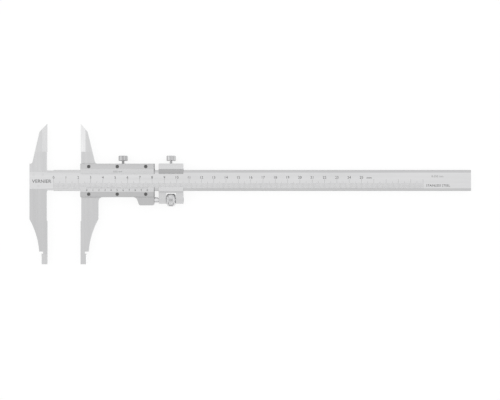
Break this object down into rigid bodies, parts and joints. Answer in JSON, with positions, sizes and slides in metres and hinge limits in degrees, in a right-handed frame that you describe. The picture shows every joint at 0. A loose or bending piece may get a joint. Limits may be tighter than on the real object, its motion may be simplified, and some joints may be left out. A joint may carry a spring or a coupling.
{
  "type": "vernier caliper",
  "caption": "Long vernier caliper with knife-edge upper jaws, stepped nib lower jaws, a screwed-on vernier and a thumb-nut fine-adjustment carriage.",
  "frame": {"origin": "centre of the beam's 17 x 4 mm section, in the plane of the fixed jaw's measuring faces", "axes": "+X along the beam towards its far end, +Y towards the knife-edge jaws, +Z out of the graduated face; the caliper lies on its back"},
  "size_m": [0.3586, 0.1143, 0.0103],
  "materials": {
    "beam_satin_chrome": "satin chrome scale face with finely ground guide bands",
    "jaw_ground_steel": "fine ground",
    "frame_ground_steel": "fine ground",
    "plate_satin_chrome": "satin chrome lip, ground flange",
    "carriage_polished_steel": "polished",
    "knob_chrome": "bright, knurled",
    "screw_bright_steel": "turned bright",
    "screw_black_oxide": "black oxide",
    "rivet_steel": "ground flush",
    "gib_bronze": "rolled"
  },
  "bodies": {
    "beam": {"beam": "beam_satin_chrome", "fixed_jaw": "jaw_ground_steel", "head_rivet_1": "rivet_steel", "head_rivet_2": "rivet_steel", "head_rivet_3": "rivet_steel"},
    "slider": {"sliding_jaw": "frame_ground_steel", "upper_plate": "plate_satin_chrome", "vernier_plate": "plate_satin_chrome", "plate_screw_1": "screw_black_oxide", "plate_screw_2": "screw_black_oxide", "plate_screw_3": "screw_black_oxide", "plate_screw_4": "screw_black_oxide", "plate_screw_5": "screw_black_oxide", "plate_screw_6": "screw_black_oxide", "adjusting_screw": "screw_bright_steel", "adjusting_screw_pin": "rivet_steel"},
    "slider_gib": {"slider_gib": "gib_bronze"},
    "slider_clamp": {"slider_clamp_screw": "knob_chrome"},
    "carriage": {"carriage": "carriage_polished_steel"},
    "carriage_gib": {"carriage_gib": "gib_bronze"},
    "carriage_clamp": {"carriage_clamp_screw": "knob_chrome"},
    "adjusting_nut": {"adjusting_nut": "knob_chrome"}
  },
  "joints": [
    {"name": "slider_slide", "type": "slide", "parent": "beam", "child": "slider", "axis": [1, 0, 0], "range_m": [-0.0272, 0.2228]},
    {"name": "slider_gib_lift", "type": "slide", "parent": "slider", "child": "slider_gib", "axis": [0, 1, 0], "range_m": [0, 0.0002]},
    {"name": "slider_clamp_turn", "type": "hinge", "parent": "slider_gib", "child": "slider_clamp", "pos_m": [0.0616, 0.0179, 0], "axis": [0, 1, 0], "range_deg": [0, 160]},
    {"name": "fine_adjust_slide", "type": "slide", "parent": "slider", "child": "carriage", "axis": [1, 0, 0], "range_m": [-0.0035, 0.0045]},
    {"name": "adjusting_nut_turn", "type": "hinge", "parent": "carriage", "child": "adjusting_nut", "pos_m": [0.1006, -0.016, 0.0004], "axis": [1, 0, 0], "range_deg": [-2520, 3240]},
    {"name": "carriage_gib_lift", "type": "slide", "parent": "carriage", "child": "carriage_gib", "axis": [0, 1, 0], "range_m": [0, 0.0002]},
    {"name": "carriage_clamp_turn", "type": "hinge", "parent": "carriage_gib", "child": "carriage_clamp", "pos_m": [0.1006, 0.0179, 0], "axis": [0, 1, 0], "range_deg": [0, 160]}
  ],
  "couplings": [
    {"joint": "adjusting_nut_turn", "follows": "fine_adjust_slide", "rad_per_m": 12566},
    {"joint": "slider_clamp_turn", "follows": "slider_gib_lift", "rad_per_m": 13963},
    {"joint": "carriage_clamp_turn", "follows": "carriage_gib_lift", "rad_per_m": 13963}
  ]
}
